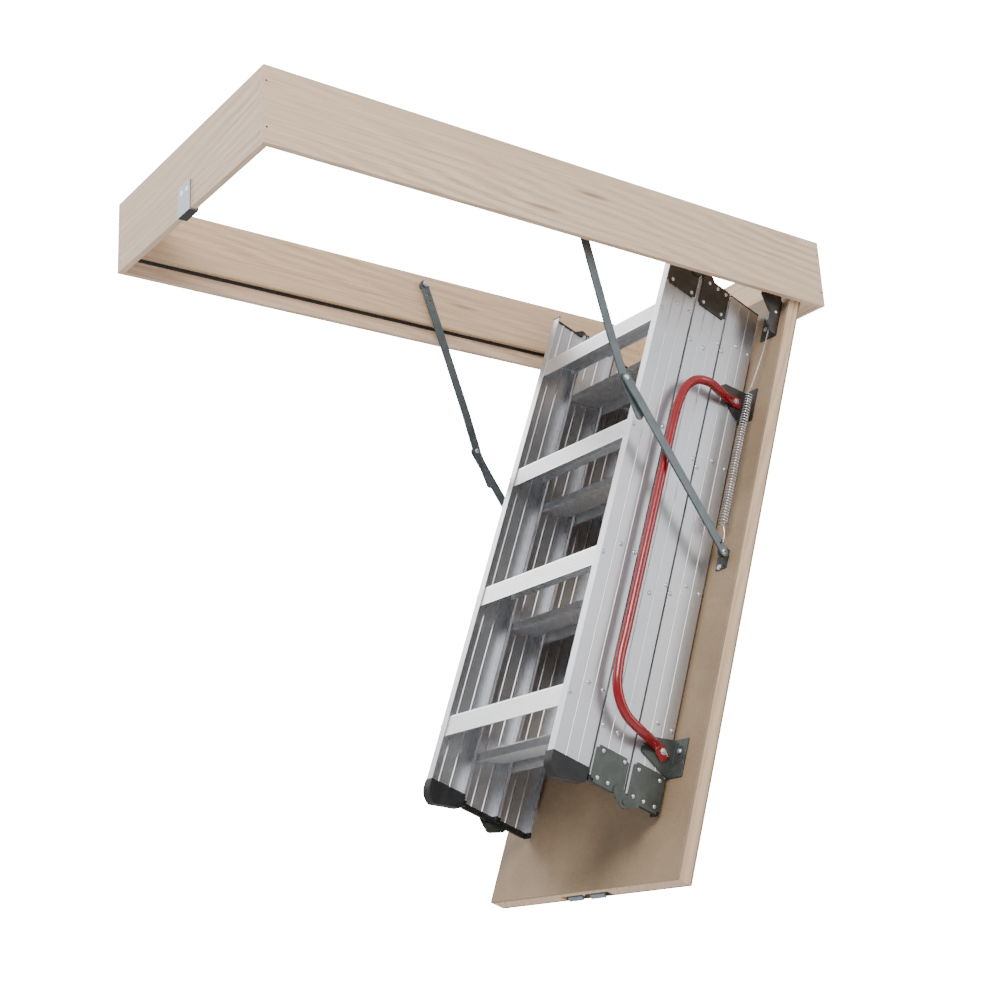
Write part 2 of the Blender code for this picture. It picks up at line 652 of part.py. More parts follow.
def main():
    for obj in list(bpy.data.objects):
        bpy.data.objects.remove(obj)
    pine = material("pine", (0.66, 0.53, 0.36), 0.6, 0.0)
    board = material("panel_skin", (0.40, 0.29, 0.18), 0.65, 0.0)
    aluminium = material("aluminium", (0.72, 0.73, 0.75), 0.35, 1.0)
    dark_steel = material("dark_steel", (0.09, 0.11, 0.11), 0.45, 0.7)
    zinc = material("zinc", (0.55, 0.57, 0.60), 0.35, 1.0)
    red = material("red_paint", (0.42, 0.01, 0.015), 0.25, 0.0)
    rubber = material("foot_rubber", (0.02, 0.02, 0.022), 0.6, 0.0)

    hatch_axis = axis_empty("hatch_axis", HINGE_X, HINGE_Z)
    hatch_axis.rotation_euler.y = -OPEN_ANGLE
    hatch = Body(hatch_axis, 0, -LIFT)
    middle = Body(axis_empty("middle_axis", *hatch.spot(*LOW_PIN), hatch_axis), *LOW_PIN)
    lower_spot = middle.spot(*HIGH_PIN)
    lower = Body(axis_empty("lower_axis", *lower_spot, middle.empty), *HIGH_PIN)

    make_frame(pine, zinc)
    make_hinge(dark_steel, hatch)
    make_hatch(pine, board, hatch)
    make_latch(zinc, hatch)
    make_section("upper", hatch, 0, SECTION_END, aluminium)
    make_section("middle", middle, 1, SECTION_END, aluminium, flipped=True)
    shift = 2 * HIGH_PIN[0] - 2 * LOW_PIN[0] + 2 * TREADS * TREAD_PITCH
    make_section("lower", lower, 2, LOWEST_END, aluminium, shift=shift)
    make_fold_hinges(dark_steel, hatch, middle, lower)
    make_feet(rubber, lower)
    make_ladder_brackets(dark_steel, hatch)
    make_handrail(red, hatch)
    make_springs(zinc, hatch)
    make_spring_brackets(dark_steel, hatch)
    make_arms(dark_steel, hatch)


main()
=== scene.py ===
# %% [markdown]
# A folding attic ladder: a pine frame that sits in the ceiling, a hatch that hangs from it, and
# three aluminium sections stacked on the hatch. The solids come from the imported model. Each one
# is copied, given soft edges and its own finish, and the small hardware is added round them.

# %% Load the solids
import json
import math

import bmesh
import bpy
from mathutils import Matrix, Vector

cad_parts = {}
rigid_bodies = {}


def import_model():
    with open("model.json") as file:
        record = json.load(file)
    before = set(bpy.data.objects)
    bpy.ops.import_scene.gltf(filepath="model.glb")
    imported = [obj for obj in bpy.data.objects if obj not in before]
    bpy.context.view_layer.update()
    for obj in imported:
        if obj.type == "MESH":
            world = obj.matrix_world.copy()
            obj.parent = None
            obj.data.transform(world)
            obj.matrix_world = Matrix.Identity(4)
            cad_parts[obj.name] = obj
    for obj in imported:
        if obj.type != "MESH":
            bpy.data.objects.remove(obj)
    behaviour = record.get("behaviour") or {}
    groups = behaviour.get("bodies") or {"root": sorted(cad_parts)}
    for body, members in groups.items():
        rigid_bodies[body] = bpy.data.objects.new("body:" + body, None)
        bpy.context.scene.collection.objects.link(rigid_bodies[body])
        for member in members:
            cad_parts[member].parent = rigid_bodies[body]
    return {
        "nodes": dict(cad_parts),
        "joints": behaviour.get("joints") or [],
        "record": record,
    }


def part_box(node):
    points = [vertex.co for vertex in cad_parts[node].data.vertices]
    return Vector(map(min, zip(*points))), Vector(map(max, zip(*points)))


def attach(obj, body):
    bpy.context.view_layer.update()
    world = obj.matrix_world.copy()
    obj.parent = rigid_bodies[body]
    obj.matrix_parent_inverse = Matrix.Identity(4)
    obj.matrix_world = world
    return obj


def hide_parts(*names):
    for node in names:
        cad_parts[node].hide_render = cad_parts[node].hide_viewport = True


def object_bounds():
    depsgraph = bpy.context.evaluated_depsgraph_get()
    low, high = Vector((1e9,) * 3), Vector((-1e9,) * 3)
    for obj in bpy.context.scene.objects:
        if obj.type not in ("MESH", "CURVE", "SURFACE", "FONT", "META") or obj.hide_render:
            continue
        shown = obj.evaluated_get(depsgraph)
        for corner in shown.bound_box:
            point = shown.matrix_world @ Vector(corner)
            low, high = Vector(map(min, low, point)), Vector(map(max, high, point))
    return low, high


for leftover in list(bpy.data.objects):
    bpy.data.objects.remove(leftover)
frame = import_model()
CAD_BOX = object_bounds()
NODES = frame["nodes"]
SLOTS = {row["node"]: row["material_slot"] for row in frame["record"]["subparts"]}
BODY_OF = {n: b for b, names in frame["record"]["behaviour"]["bodies"].items() for n in names}

# %% [markdown]
# Everything on the hatch is easiest to place as if the hatch were closed and level: u runs from
# the hinge to the free end and n stands up from the panel. The hinge joint in the record says
# where the hatch turns and how far it is open, so those two numbers are read, not repeated.

# %% Places on the open hatch
hinge = next(j for j in frame["joints"] if j["name"] == "hatch_hinge")
PIVOT = Vector(hinge["pos_m"])
OPEN = math.radians(-hinge["range_deg"][0])
LIFT = 0.041  # the panel's face, n = 0, lies this far out from the hinge line
PANEL_END = 1.3025
DOWN = Vector((-math.cos(OPEN), 0, -math.sin(OPEN)))
OUT = Vector((-math.sin(OPEN), 0, math.cos(OPEN)))
ACROSS = Vector((0, 1, 0))
SIDES = (("near", -1), ("far", 1))


def spot(u, y, n):
    return PIVOT + DOWN * u + OUT * (n + LIFT) + ACROSS * y


print("free end of the panel:", tuple(round(v, 3) for v in spot(PANEL_END, 0, 0)))

# %% [markdown]
# A finish is a tree of shader nodes. One small helper adds a node, sets what is a number and
# links what is a socket, so that each finish below reads as a short recipe.

# %% Helpers for finishes
def finish(name, colour, roughness, metallic=0.0):
    made = bpy.data.materials.new(name)
    made.use_nodes = True
    shader = made.node_tree.nodes["Principled BSDF"]
    shader.inputs["Base Color"].default_value = (*colour, 1)
    shader.inputs["Roughness"].default_value = roughness
    shader.inputs["Metallic"].default_value = metallic
    return made, shader


def add(mat, kind, settings=(), **inputs):
    node = mat.node_tree.nodes.new("ShaderNode" + kind)
    for key, value in dict(settings).items():
        setattr(node, key, value)
    for key, value in inputs.items():
        socket = node.inputs[key.replace("_", " ")]
        if isinstance(value, bpy.types.NodeSocket):
            mat.node_tree.links.new(value, socket)
        else:
            socket.default_value = value
    return node


def link(mat, source, target):
    mat.node_tree.links.new(source, target)


def grain_space(mat, turn, stretch):
    """Object coordinates turned so that X runs along the piece, then stretched."""
    place = add(mat, "TexCoord").outputs["Object"]
    turned = add(mat, "Mapping", {"vector_type": "TEXTURE"}, Vector=place, Rotation=turn)
    return add(mat, "Mapping", Vector=turned.outputs[0], Scale=stretch).outputs[0]


def ramp(mat, factor, *stops):
    node = add(mat, "ValToRGB", Fac=factor)
    ends = node.color_ramp.elements
    while len(ends) < len(stops):
        ends.new(0.5)
    for end, (at, colour) in zip(ends, stops):
        end.position = at
        end.color = (*colour, 1)
    return node.outputs["Color"]


def bump(mat, shader, height, distance, strength=1.0):
    node = add(mat, "Bump", Height=height, Distance=distance, Strength=strength)
    link(mat, node.outputs["Normal"], shader.inputs["Normal"])


ALONG_X = (0, 0, 0)
ALONG_Y = (0, 0, math.pi / 2)
ALONG_HATCH = (0, -OPEN, 0)
print("grain can run along x, along y and down the hatch")

# %% [markdown]
# Planed pine shows growth lines along the board, now and then a knot, and a fine fibre that
# catches the light. Waves bent by a slow noise give the lines, a stretched Voronoi pattern gives
# the knots, and a very long thin noise gives the fibre. The boards run in three directions, so
# the same recipe is made three times with the grain turned.

# %% Pine
def pine(name, turn, light, dark, seed):
    mat, shader = finish(name, light, 0.55)
    space = grain_space(mat, turn, (1.0, 9.0, 9.0))
    shifted = add(mat, "Mapping", Vector=space, Location=(seed, seed * 0.7, 0)).outputs[0]
    drift = add(mat, "TexNoise", Vector=shifted, Scale=1.3, Detail=4.0, Roughness=0.55)
    bent = add(mat, "MixRGB", Fac=0.22, Color1=shifted, Color2=drift.outputs["Color"])
    rings = add(mat, "TexWave", {"bands_direction": "DIAGONAL"}, Vector=bent.outputs[0], Scale=4.4,
                Distortion=5.5, Detail=5.0, Detail_Scale=0.9, Detail_Roughness=0.6)
    streaks = add(mat, "TexNoise", Vector=grain_space(mat, turn, (1.6, 230.0, 230.0)), Scale=1.0,
                  Detail=5.0, Roughness=0.7)
    patchy = add(mat, "MapRange", Value=drift.outputs["Fac"], From_Min=0.35, From_Max=0.7,
                 To_Min=0.0, To_Max=0.34)
    lines = add(mat, "MixRGB", Fac=patchy.outputs[0], Color1=streaks.outputs["Fac"],
                Color2=rings.outputs["Fac"])
    knots = add(mat, "TexVoronoi", Vector=shifted, Scale=1.7)
    knot = ramp(mat, knots.outputs["Distance"], (0.0, (1, 1, 1)), (0.10, (0, 0, 0)))
    middle = tuple((a + b) / 2 for a, b in zip(light, dark))
    wood = ramp(mat, lines.outputs[0], (0.34, light), (0.60, middle), (0.80, dark))
    brown = (dark[0] * 0.45, dark[1] * 0.36, dark[2] * 0.30, 1)
    spotted = add(mat, "MixRGB", Fac=knot, Color1=wood, Color2=brown)
    link(mat, spotted.outputs[0], shader.inputs["Base Color"])
    fibre = grain_space(mat, turn, (12.0, 700.0, 700.0))
    hair = add(mat, "TexNoise", Vector=fibre, Scale=1.0, Detail=3.0)
    worn = add(mat, "MapRange", Value=hair.outputs["Fac"], To_Min=0.46, To_Max=0.66)
    link(mat, worn.outputs[0], shader.inputs["Roughness"])
    bump(mat, shader, hair.outputs["Fac"], 0.0004, 0.5)
    return mat


PALE, PALE_LINE = (0.72, 0.535, 0.375), (0.43, 0.265, 0.155)
pine_side = pine("pine along the frame", ALONG_X, PALE, PALE_LINE, 0.0)
pine_end = pine("pine across the frame", ALONG_Y, PALE, PALE_LINE, 3.1)
pine_stop = pine("pine stop battens", ALONG_X, (0.68, 0.49, 0.315), (0.42, 0.255, 0.14), 7.4)
pine_stop_end = pine("pine end batten", ALONG_Y, (0.68, 0.49, 0.315), (0.42, 0.255, 0.14), 2.3)
pine_core = pine("pine panel core", ALONG_HATCH, (0.70, 0.50, 0.32), (0.42, 0.26, 0.14), 5.2)
print("five pine finishes")

# %% [markdown]
# The panel's skins are hardboard: an even tan brown with short pressed fibres, a little darker
# in cloudy patches. Two sizes of noise make it, one for the clouds and one for the fibres.

# %% Hardboard
hardboard, shader = finish("hardboard skin", (0.36, 0.265, 0.175), 0.62)
board_space = grain_space(hardboard, ALONG_HATCH, (1.0, 1.0, 1.0))
clouds = add(hardboard, "TexNoise", Vector=board_space, Scale=6.0, Detail=5.0)
specks = add(hardboard, "TexNoise", Vector=board_space, Scale=420.0, Detail=2.0)
mixed = add(hardboard, "MixRGB", Fac=0.35, Color1=clouds.outputs["Fac"],
            Color2=specks.outputs["Fac"])
tan = ramp(hardboard, mixed.outputs[0], (0.36, (0.235, 0.158, 0.092)),
           (0.64, (0.355, 0.25, 0.155)))
link(hardboard, tan, shader.inputs["Base Color"])
bump(hardboard, shader, specks.outputs["Fac"], 0.0003, 0.4)
print("hardboard")

# %% [markdown]
# Extruded aluminium has a satin skin with very fine lines along the length it was pushed out in.
# The lines are a noise pulled out a hundred times longer than it is wide. It moves the
# roughness and the bump only a little, and the metal keeps one colour.

# %% Aluminium
def extruded(name, turn, colour, rough):
    mat, shader = finish(name, colour, rough, 1.0)
    lines = add(mat, "TexNoise", Vector=grain_space(mat, turn, (3.0, 900.0, 900.0)), Scale=1.0,
                Detail=3.0)
    hazy = add(mat, "TexNoise", Vector=grain_space(mat, turn, (1.0, 1.0, 1.0)), Scale=14.0)
    both = add(mat, "MixRGB", Fac=0.4, Color1=lines.outputs["Fac"], Color2=hazy.outputs["Fac"])
    worn = add(mat, "MapRange", Value=both.outputs[0], To_Min=rough - 0.07, To_Max=rough + 0.09)
    link(mat, worn.outputs[0], shader.inputs["Roughness"])
    bump(mat, shader, lines.outputs["Fac"], 0.00015, 0.35)
    return mat


stile_metal = extruded("satin aluminium stile", ALONG_HATCH, (0.56, 0.57, 0.59), 0.50)
tread_metal = extruded("satin aluminium tread", ALONG_Y, (0.72, 0.725, 0.735), 0.44)
print("two aluminium finishes")

# %% [markdown]
# The pressed steel brackets and arms are painted, with the slight ripple that paint keeps, and
# scuffs where it is rubbed. The bright hardware is zinc plated, mottled and smoother. Red gloss
# paint, black caps and moulded rubber follow the same two-noise recipe with other numbers.

# %% Paint, zinc, plastic and rubber
def coated(name, colour, scuffed, rough, metallic, fine, spread, depth, coat=0.0):
    mat, shader = finish(name, colour, rough, metallic)
    place = add(mat, "TexCoord").outputs["Object"]
    broad = add(mat, "TexNoise", Vector=place, Scale=38.0, Detail=6.0, Roughness=0.6)
    tight = add(mat, "TexNoise", Vector=place, Scale=fine, Detail=2.0)
    shade = ramp(mat, broad.outputs["Fac"], (0.42, colour), (0.72, scuffed))
    link(mat, shade, shader.inputs["Base Color"])
    worn = add(mat, "MapRange", Value=broad.outputs["Fac"], To_Min=rough - spread,
               To_Max=rough + spread)
    link(mat, worn.outputs[0], shader.inputs["Roughness"])
    bump(mat, shader, tight.outputs["Fac"], depth, 0.4)
    shader.inputs["Coat Weight"].default_value = coat
    shader.inputs["Coat Roughness"].default_value = 0.12
    return mat


grey_paint = coated("grey painted plate", (0.052, 0.060, 0.053), (0.085, 0.093, 0.085), 0.42,
                    0.35, 500.0, 0.10, 0.0002)
black_paint = coated("black painted plate", (0.026, 0.023, 0.021), (0.05, 0.046, 0.042), 0.40,
                     0.2, 500.0, 0.10, 0.0002)
arm_paint = coated("grey painted arm", (0.090, 0.108, 0.113), (0.13, 0.15, 0.155), 0.40, 0.55,
                   450.0, 0.10, 0.0002)
zinc = coated("bright zinc", (0.62, 0.64, 0.67), (0.74, 0.75, 0.77), 0.30, 1.0, 300.0, 0.10,
              0.0001)
keeper_zinc = coated("blue grey zinc", (0.27, 0.31, 0.35), (0.35, 0.39, 0.43), 0.40, 0.85,
                     300.0, 0.10, 0.0001)
spring_steel = coated("bright spring wire", (0.50, 0.50, 0.51), (0.64, 0.64, 0.65), 0.24, 1.0,
                      700.0, 0.08, 0.0001)
red_gloss = coated("red gloss paint", (0.225, 0.0, 0.004), (0.27, 0.002, 0.007), 0.22, 0.0,
                   120.0, 0.05, 0.0001, coat=0.3)
black_cap = coated("black moulded cap", (0.006, 0.006, 0.007), (0.016, 0.016, 0.017), 0.5, 0.0,
                   600.0, 0.08, 0.0002)
rubber = coated("moulded rubber", (0.008, 0.008, 0.009), (0.02, 0.02, 0.021), 0.66, 0.0, 800.0,
                0.08, 0.0004)
dark_hole = coated("dark nail", (0.03, 0.025, 0.02), (0.06, 0.045, 0.035), 0.6, 0.3, 500.0, 0.08,
                   0.0002)
print(len(bpy.data.materials), "finishes in all")

# %% [markdown]
# A solid from CAD has knife edges, which no real board or bracket has. Each one is copied, its
# loose triangles are merged and its flat faces joined, and a narrow bevel rounds the edges so
# they catch the light. The copy then stands for the solid and rides on the same body. The low
# ribs inside the stiles are shaded smooth, which makes them read softer than they are.

# %% Soft edges
ROUNDED = ("pull_ring",)
FLAT_ANGLE, ROUND_ANGLE, TUBE_ANGLE = 35, 60, 70  # degrees past which an edge stays sharp
INNER_RIBS = (0.1965, 0.2003)  # the ribs inside a stile lie between these distances from y = 0
CORNER = 0.006
SHORT_EDGE, TURNED = 0.004, math.radians(55)  # a plate's outline corner: short and well turned


def mesh_from(bm, name):
    mesh = bpy.data.meshes.new(name)
    bm.to_mesh(mesh)
    bm.free()
    return mesh


def placed(name, data):
    obj = bpy.data.objects.new(name, data)
    bpy.context.scene.collection.objects.link(obj)
    return obj


def clamped(mesh, low, high):
    """Moves every vertex into the box, so that rounding can't push a copy past its solid."""
    for vert in mesh.vertices:
        vert.co = [min(max(c, a), b) for c, a, b in zip(vert.co, low, high)]


def merged_copy(name):
    bm = bmesh.new()
    bm.from_mesh(NODES[name].data)
    bmesh.ops.remove_doubles(bm, verts=bm.verts, dist=2e-5)
    if name in ROUNDED:
        bmesh.ops.join_triangles(bm, faces=bm.faces, angle_face_threshold=0.7,
                                 angle_shape_threshold=1.6)
    else:
        bmesh.ops.dissolve_limit(bm, angle_limit=math.radians(0.5), verts=bm.verts, edges=bm.edges)
    return placed(name + "_soft", mesh_from(bm, name + "_soft"))


def flattened(obj):
    """Turns the object's modifiers into its mesh."""
    graph = bpy.context.evaluated_depsgraph_get()
    mesh = bpy.data.meshes.new_from_object(obj.evaluated_get(graph))
    obj.modifiers.clear()
    obj.data = mesh
    return obj


def dressed(obj, mat, body, smooth=FLAT_ANGLE):
    obj.data.materials.clear()
    obj.data.materials.append(mat)
    obj.data.shade_smooth()
    obj.data.set_sharp_from_angle(angle=math.radians(smooth))
    if "stile_near" in obj.name or "stile_far" in obj.name:
        for edge in obj.data.edges:
            reach = [abs(obj.data.vertices[v].co.y) for v in edge.vertices]
            if min(reach) > INNER_RIBS[0] and max(reach) < INNER_RIBS[1]:
                edge.use_edge_sharp = False
    if smooth < ROUND_ANGLE:
        level = obj.modifiers.new("level", "WEIGHTED_NORMAL")
        level.keep_sharp = True
        level.weight = 100
        flattened(obj)
    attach(obj, body)
    return obj


def round_corners(obj, radius):
    """Rounds the outline's corners of a thin plate: the short convex edges that run along Y."""
    bm = bmesh.new()
    bm.from_mesh(obj.data)
    corners = [e for e in bm.edges if len(e.link_faces) == 2 and e.is_convex
               and e.calc_length() < SHORT_EDGE and e.calc_face_angle() > TURNED
               and abs((e.verts[1].co - e.verts[0].co).normalized().y) > 0.99]
    bmesh.ops.bevel(bm, geom=corners, offset=radius, segments=5, affect="EDGES",
                    clamp_overlap=True)
    bm.to_mesh(obj.data)
    bm.free()


def softened(obj, width):
    edge = obj.modifiers.new("edges", "BEVEL")
    edge.width = width
    edge.segments = 2
    edge.limit_method = "ANGLE"
    edge.angle_limit = math.radians(FLAT_ANGLE)
    return flattened(obj)


def look_of(name):
    """(finish, width of the soft edge) for a solid."""
    if name == "stop_batten_latch":
        return pine_stop_end, 0.0009
    if name.startswith("stop_batten"):
        return pine_stop, 0.0009
    if name.startswith("frame_side"):
        return pine_side, 0.0009
    if name.startswith("frame_end"):
        return pine_end, 0.0009
    if "stile" in name:
        return stile_metal, 0.0003
    if "tread" in name:
        return tread_metal, 0.0003
    if name.startswith(("high_plate", "spring_bracket", "ladder_bracket_high")):
        return black_paint, 0.0004
    if "_arm_" in name:
        return arm_paint, 0.0005
    if name == "keeper_plate" or name.startswith("latch_tongue"):
        return keeper_zinc, 0.0003
    if name == "hatch_core":
        return pine_core, 0.0005
    by_slot = {"panel_skin": (hardboard, 0.0004), "dark_steel": (grey_paint, 0.0004),
               "zinc": (zinc, 0.0003), "red_paint": (red_gloss, 0.0),
               "foot_rubber": (rubber, 0.0012)}
    return by_slot[SLOTS[name]]


print("edge widths run from 0.3 mm on thin metal to 1.2 mm on rubber")

# %% [markdown]
# The stay arms have two spare holes near the frame, the keeper plate has two sunk screws, and
# the frame's corners are nailed. These are cut as real hollows in the copies with a Boolean.

# %% Holes and hollows
ARM_TOP, KNEE = (-0.667, 0.047), (-0.554, -0.3305)
arm_run = Vector((KNEE[0] - ARM_TOP[0], 0, KNEE[1] - ARM_TOP[1])).normalized()
ARM_Y, ARM_SPLAY, ARM_LENGTH = 0.2475, 0.013, 0.394
SPARE_HOLES, SPARE_RADIUS = (0.025, 0.042), 0.0032
KEEPER_FACE = CAD_BOX[0][0]
KEEPER_BEND = -0.0755
SCREW_Z, SCREW_Y = -0.031, 0.0115
SINK_RADIUS, SINK_DEPTH = 0.0056, 0.0014
CORNERS = [(x, z) for x in (-1.368, -0.006) for z in (-0.045, 0.045)]
SIDE_FACE = 0.300
NAIL_HOLE, NAIL_DEPTH = 0.0020, 0.0012


def carve(obj, bit):
    """Cuts the bit out of the object, then deletes the bit."""
    cut = obj.modifiers.new("hole", "BOOLEAN")
    cut.operation = "DIFFERENCE"
    cut.object = bit
    flattened(obj)
    bpy.data.objects.remove(bit)


def drill(obj, centre, axis, radius, depth, sides=20):
    bm = bmesh.new()
    turn = Vector((0, 0, 1)).rotation_difference(Vector(axis)).to_matrix().to_4x4()
    bmesh.ops.create_cone(bm, cap_ends=True, segments=sides, radius1=radius, radius2=radius,
                          depth=depth * 2, matrix=Matrix.Translation(centre) @ turn)
    carve(obj, placed("bit", mesh_from(bm, "bit")))


def hollows(obj, name):
    if name.startswith("upper_arm"):
        sign = -1 if name.endswith("near") else 1
        for along in SPARE_HOLES:
            y = sign * (ARM_Y + ARM_SPLAY * (1 - along / ARM_LENGTH))
            at = Vector((ARM_TOP[0], y, ARM_TOP[1])) + arm_run * along
            drill(obj, at, (0, 1, 0), SPARE_RADIUS, 0.006)
    if name == "keeper_plate":
        for y in (-SCREW_Y, SCREW_Y):
            drill(obj, (KEEPER_FACE, y, SCREW_Z), (1, 0, 0), SINK_RADIUS, SINK_DEPTH, 24)
    if name.startswith("frame_side"):
        sign = -1 if name.endswith("near") else 1
        for x, z in CORNERS:
            drill(obj, (x, sign * SIDE_FACE, z), (0, 1, 0), NAIL_HOLE, NAIL_DEPTH, 12)


made = 0
for name in sorted(NODES):
    if name in ("spring_near", "spring_far", "handrail"):
        continue
    mat, width = look_of(name)
    piece = merged_copy(name)
    hollows(piece, name)
    if "_plate_" in name or "_bracket_" in name:
        round_corners(piece, CORNER)
    if name in ROUNDED:
        smooth = piece.modifiers.new("round", "SUBSURF")
        smooth.levels = smooth.render_levels = 2
        flattened(piece)
    else:
        softened(piece, width)
    clamped(piece.data, *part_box(name))
    dressed(piece, mat, BODY_OF[name],
            TUBE_ANGLE if name in ROUNDED else FLAT_ANGLE)
    if name == "keeper_plate":
        piece.data.materials.append(black_cap)
        for face in piece.data.polygons:
            face.material_index = int(face.center.z < KEEPER_BEND)
    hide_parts(name)
    made += 1
print(made, "solids copied with soft edges")

# %% [markdown]
# The handrail is a round tube, pressed flat at both ends and bent up and over. Its route is a
# list of stations (u, n, distance from the middle, two half widths). A Catmull-Rom curve runs
# through them, and a ring of points at each step, joined to the next ring, makes the tube.

# %% Handrail
TAB_Y, RAIL_Y, RAIL_R = 0.2076, 0.230, 0.0095
TAB, ROUND_BAR = (0.0125, 0.0020), (RAIL_R, RAIL_R)
RAIL = [
    (1.074, 0.022, TAB_Y, *TAB), (1.058, 0.044, TAB_Y, *TAB),
    (1.057, 0.070, 0.2180, 0.0110, 0.0065), (1.057, 0.106, RAIL_Y, *ROUND_BAR),
    (1.041, 0.150, RAIL_Y, *ROUND_BAR), (1.006, 0.179, RAIL_Y, *ROUND_BAR),
    (0.955, 0.189, RAIL_Y, *ROUND_BAR), (0.880, 0.189, RAIL_Y, *ROUND_BAR),
    (0.690, 0.189, RAIL_Y, *ROUND_BAR), (0.490, 0.189, RAIL_Y, *ROUND_BAR),
    (0.420, 0.189, RAIL_Y, *ROUND_BAR), (0.364, 0.186, RAIL_Y, *ROUND_BAR),
    (0.322, 0.176, RAIL_Y, *ROUND_BAR), (0.292, 0.153, RAIL_Y, *ROUND_BAR),
    (0.279, 0.120, RAIL_Y, *ROUND_BAR), (0.278, 0.086, 0.2240, *ROUND_BAR),
    (0.272, 0.054, 0.2140, 0.0115, 0.0050), (0.266, 0.034, TAB_Y, *TAB),
    (0.262, 0.014, TAB_Y, *TAB),
]
STEPS, AROUND = 8, 28


def blend(a, b, ta, tb, t):
    return [(x * (tb - t) + y * (t - ta)) / (tb - ta) for x, y in zip(a, b)]


def through(points, steps):
    """Stations along a centripetal Catmull-Rom curve, which doesn't swing wide at a short step."""
    ends = [points[0], *points, points[-1]]
    for p0, p1, p2, p3 in zip(ends, ends[1:], ends[2:], ends[3:]):
        gaps = [max(math.dist(a[:3], b[:3]), 1e-4) ** 0.5
                for a, b in ((p0, p1), (p1, p2), (p2, p3))]
        t1, t2, t3 = gaps[0], gaps[0] + gaps[1], sum(gaps)
        for i in range(steps):
            t = t1 + (t2 - t1) * i / steps
            a1, a2, a3 = blend(p0, p1, 0, t1, t), blend(p1, p2, t1, t2, t), blend(p2, p3, t2, t3, t)
            yield blend(blend(a1, a2, 0, t2, t), blend(a2, a3, t1, t3, t), t1, t2, t)
    yield points[-1]


stations = list(through(RAIL, STEPS))
centres = [spot(u, -max(y, TAB_Y), n) for u, n, y, _, _ in stations]
bm = bmesh.new()
rings = []
for i, (_, _, _, wide, thick) in enumerate(stations):
    along = (centres[min(i + 1, len(centres) - 1)] - centres[max(i - 1, 0)]).normalized()
    side_way = (ACROSS - along * along.dot(ACROSS)).normalized()
    flat_way = along.cross(side_way)
    ring = []
    for j in range(AROUND):
        angle = 2 * math.pi * j / AROUND
        offset = flat_way * wide * math.cos(angle) + side_way * thick * math.sin(angle)
        ring.append(bm.verts.new(centres[i] + offset))
    rings.append(ring)
for ring, following in zip(rings, rings[1:]):
    for j in range(AROUND):
        k = (j + 1) % AROUND
        bm.faces.new((ring[j], ring[k], following[k], following[j]))
bm.faces.new(rings[0])
bm.faces.new(rings[-1])
bmesh.ops.recalc_face_normals(bm, faces=bm.faces)
rail = placed("handrail_tube", mesh_from(bm, "handrail_tube"))
clamped(rail.data, *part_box("handrail"))
dressed(rail, red_gloss, "hatch", TUBE_ANGLE)
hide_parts("handrail")
print(f"handrail: {len(rings)} rings of {AROUND}")

# %% [markdown]
# Rivets, bolts and ribs repeat all over the ladder. Each kind is one Geometry Nodes tree that
# puts a small head at every point of a cloud and turns it to face the way that point faces.
# The sizes are named inputs. One cloud is made per body, so the heads move with their piece.

# %% Trees that repeat a head
def new_tree(name, sizes):
    tree = bpy.data.node_groups.new(name, "GeometryNodeTree")
    tree.interface.new_socket("Geometry", in_out="INPUT", socket_type="NodeSocketGeometry")
    for label, value in sizes.items():
        kind = "NodeSocketInt" if isinstance(value, int) else "NodeSocketFloat"
        socket = tree.interface.new_socket(label, in_out="INPUT", socket_type=kind)
        socket.default_value = value
    tree.interface.new_socket("Material", in_out="INPUT", socket_type="NodeSocketMaterial")
    tree.interface.new_socket("Geometry", in_out="OUTPUT", socket_type="NodeSocketGeometry")
    return tree, tree.nodes.new("NodeGroupInput"), tree.nodes.new("NodeGroupOutput")


def join_up(tree, kind, settings=(), **inputs):
    node = tree.nodes.new(kind)
    for key, value in dict(settings).items():
        setattr(node, key, value)
    for key, value in inputs.items():
        socket = node.inputs[key.replace("_", " ")]
        if isinstance(value, bpy.types.NodeSocket):
            tree.links.new(value, socket)
        else:
            socket.default_value = value
    return node


def end_tree(tree, given, out, geometry):
    real = join_up(tree, "GeometryNodeRealizeInstances", Geometry=geometry)
    painted = join_up(tree, "GeometryNodeSetMaterial", Geometry=real.outputs[0],
                      Material=given.outputs["Material"])
    tree.links.new(painted.outputs[0], out.inputs["Geometry"])
    return tree


def scatter(tree, given, out, head):
    """A head at every point, its Z turned to the point's facing attribute."""
    facing = join_up(tree, "GeometryNodeInputNamedAttribute", {"data_type": "FLOAT_VECTOR"},
                     Name="facing")
    turn = join_up(tree, "FunctionNodeAlignRotationToVector", {"axis": "Z"},
                   Vector=facing.outputs["Attribute"])
    spread = join_up(tree, "GeometryNodeInstanceOnPoints", Points=given.outputs["Geometry"],
                     Instance=head, Rotation=turn.outputs[0])
    return end_tree(tree, given, out, spread.outputs[0])


def scaled(tree, geometry, x, y, z):
    size = join_up(tree, "ShaderNodeCombineXYZ", X=x, Y=y, Z=z)
    grown = join_up(tree, "GeometryNodeTransform", Geometry=geometry, Scale=size.outputs[0])
    return grown.outputs[0]


def rivet_tree():
    tree, given, out = new_tree("domed rivets", {"Radius": 0.004, "Height": 0.0016})
    ball = join_up(tree, "GeometryNodeMeshUVSphere", Segments=14, Rings=8, Radius=1.0)
    head = scaled(tree, ball.outputs["Mesh"], given.outputs["Radius"], given.outputs["Radius"],
                  given.outputs["Height"])
    return scatter(tree, given, out, head)


